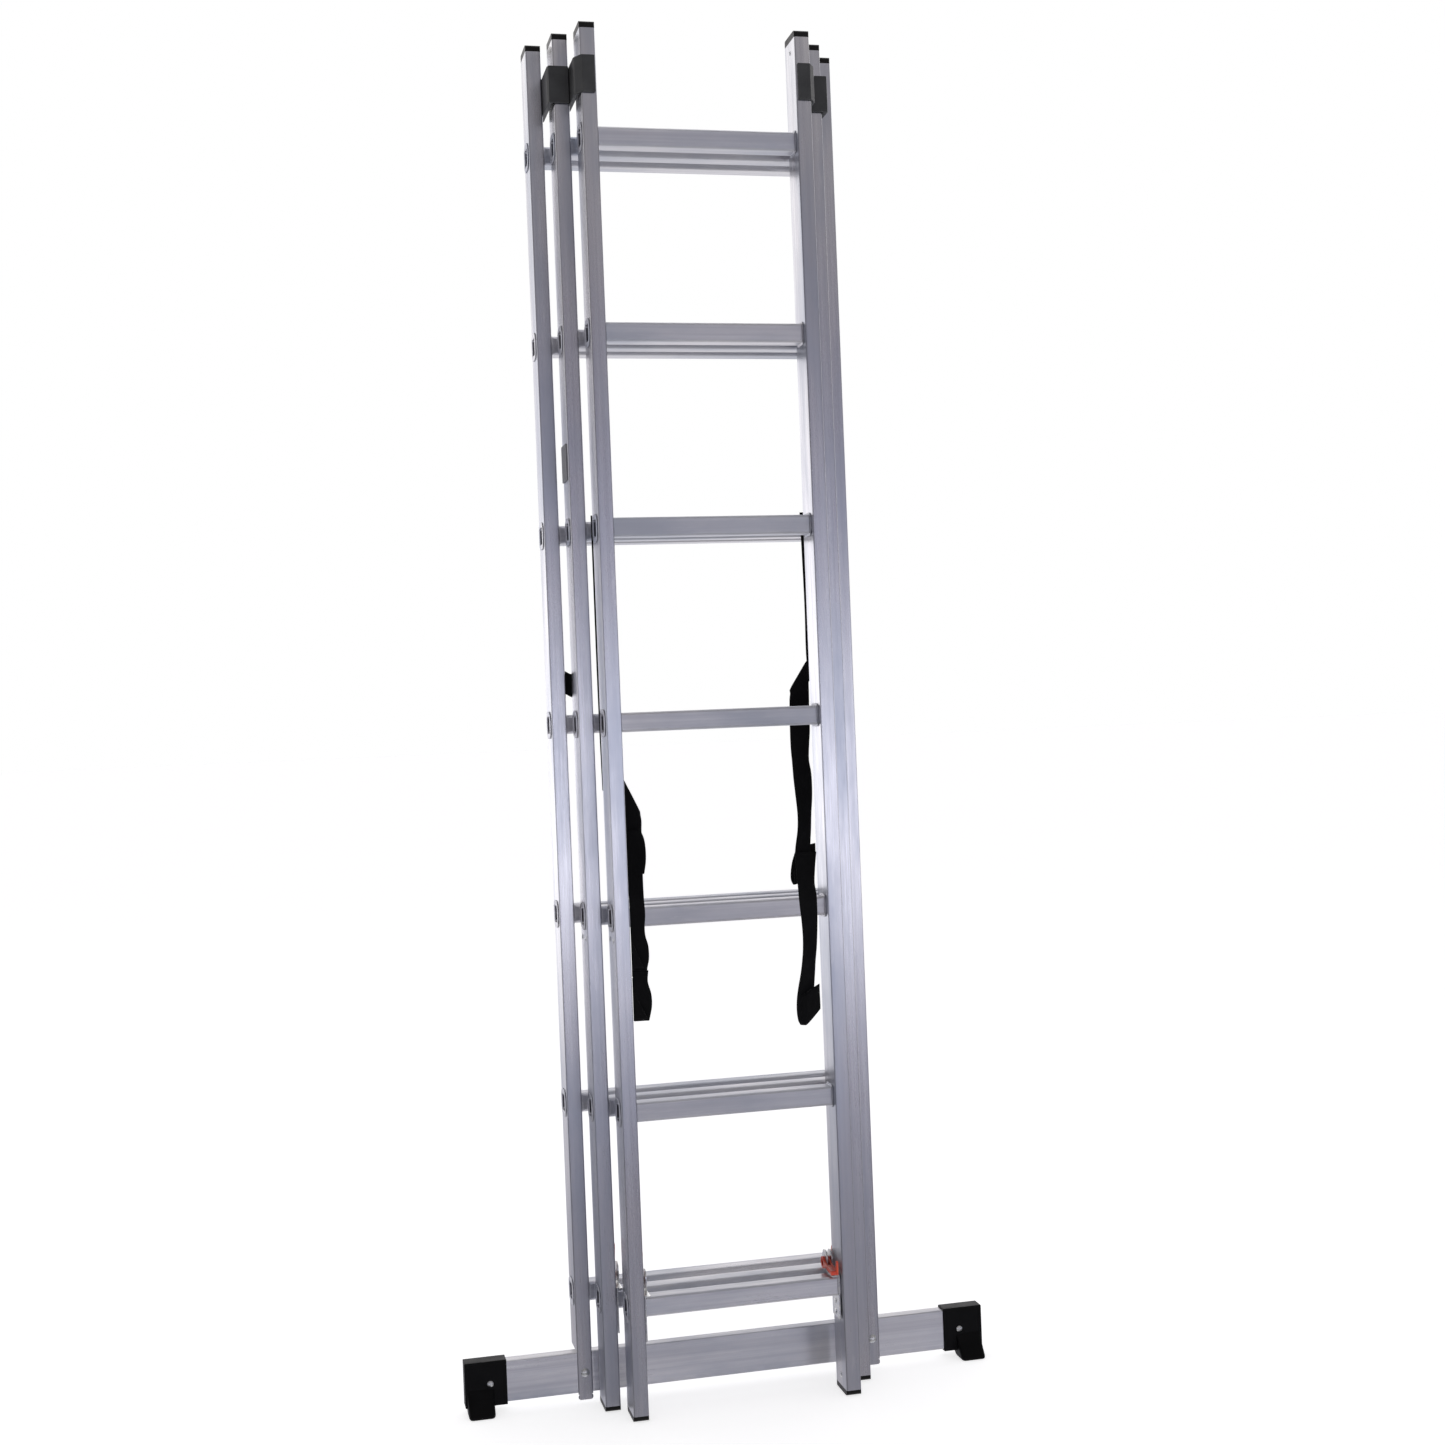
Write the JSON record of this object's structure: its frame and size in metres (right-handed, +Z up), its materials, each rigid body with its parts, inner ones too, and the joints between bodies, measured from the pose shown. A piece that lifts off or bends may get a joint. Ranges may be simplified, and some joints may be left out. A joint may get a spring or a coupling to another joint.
{
  "type": "extension ladder",
  "caption": "Nested extension and trestle ladder with box rungs, a stabiliser bar on rubber boots, swivel guides, locking levers and webbing straps.",
  "frame": {"origin": "on the ground, at the centre of the closed ladder's outer box", "axes": "+X to the ladder's right as seen from the front, +Y towards its back, +Z up along the stiles"},
  "size_m": [0.796, 0.165, 1.9969],
  "materials": {
    "aluminium": "mill-finish extruded aluminium with fine vertical draw lines",
    "cap_black": "moulded black plastic",
    "boot_rubber": "moulded black rubber, slightly satin",
    "guide_grey": "charcoal glass-filled nylon",
    "pad_grey": "grey slide pad",
    "zinc": "bright zinc-plated steel",
    "lever_red": "moulded red plastic",
    "webbing": "woven black polyester webbing"
  },
  "bodies": {
    "back_section": {"back_stile_left": "aluminium", "back_stile_right": "aluminium", "back_rung_1": "aluminium", "back_rung_2": "aluminium", "back_rung_3": "aluminium", "back_rung_4": "aluminium", "back_rung_5": "aluminium", "back_rung_6": "aluminium", "back_rung_7": "aluminium", "back_top_caps": "cap_black", "back_rivets": "zinc", "stabiliser_bar": "aluminium", "bar_bolts": "zinc", "boot_left": "boot_rubber", "boot_right": "boot_rubber", "boot_screws": "zinc", "back_guide_left": "guide_grey", "back_guide_right": "guide_grey", "strap_end_left": "webbing", "strap_end_right": "webbing"},
    "middle_section": {"middle_stile_left": "aluminium", "middle_stile_right": "aluminium", "middle_rung_1": "aluminium", "middle_rung_2": "aluminium", "middle_rung_3": "aluminium", "middle_rung_4": "aluminium", "middle_rung_5": "aluminium", "middle_rung_6": "aluminium", "middle_rung_7": "aluminium", "middle_top_caps": "cap_black", "middle_feet": "cap_black", "middle_rivets": "zinc", "swivel_bolts": "zinc", "middle_guide_pads": "pad_grey", "middle_hook_left": "zinc", "middle_hook_right": "zinc", "middle_hook_pins": "zinc"},
    "swivel_guides": {"swivel_guide_left": "guide_grey", "swivel_guide_right": "guide_grey"},
    "front_section": {"front_stile_left": "aluminium", "front_stile_right": "aluminium", "front_rung_1": "aluminium", "front_rung_2": "aluminium", "front_rung_3": "aluminium", "front_rung_4": "aluminium", "front_rung_5": "aluminium", "front_rung_6": "aluminium", "front_rung_7": "aluminium", "front_top_caps": "cap_black", "front_feet": "cap_black", "front_rivets": "zinc", "front_hook_left": "zinc", "front_hook_right": "zinc", "front_hook_pins": "zinc", "strap_left": "webbing", "strap_right": "webbing"},
    "middle_left_lever": {"middle_lever_left": "lever_red"},
    "middle_right_lever": {"middle_lever_right": "lever_red"},
    "front_left_lever": {"front_lever_left": "lever_red"},
    "front_right_lever": {"front_lever_right": "lever_red"}
  },
  "joints": [
    {"name": "middle_extend", "type": "slide", "parent": "back_section", "child": "middle_section", "axis": [0, 0, 1], "range_m": [0, 1.12]},
    {"name": "spread", "type": "hinge", "parent": "middle_section", "child": "swivel_guides", "pos_m": [0, 0.00225, 1.921], "axis": [-1, 0, 0], "range_deg": [0, 32]},
    {"name": "front_extend", "type": "slide", "parent": "swivel_guides", "child": "front_section", "axis": [0, 0, 1], "range_m": [0, 1.12]},
    {"name": "middle_left_lever_swing", "type": "hinge", "parent": "middle_section", "child": "middle_left_lever", "pos_m": [0, 0.02825, 0.1839], "axis": [-1, 0, 0], "range_deg": [-85, 100]},
    {"name": "middle_right_lever_swing", "type": "hinge", "parent": "middle_section", "child": "middle_right_lever", "pos_m": [0, 0.02825, 0.1839], "axis": [-1, 0, 0], "range_deg": [0, 185]},
    {"name": "front_left_lever_swing", "type": "hinge", "parent": "front_section", "child": "front_left_lever", "pos_m": [0, -0.02485, 0.1839], "axis": [-1, 0, 0], "range_deg": [-85, 100]},
    {"name": "front_right_lever_swing", "type": "hinge", "parent": "front_section", "child": "front_right_lever", "pos_m": [0, -0.02485, 0.1839], "axis": [-1, 0, 0], "range_deg": [0, 185]}
  ]
}
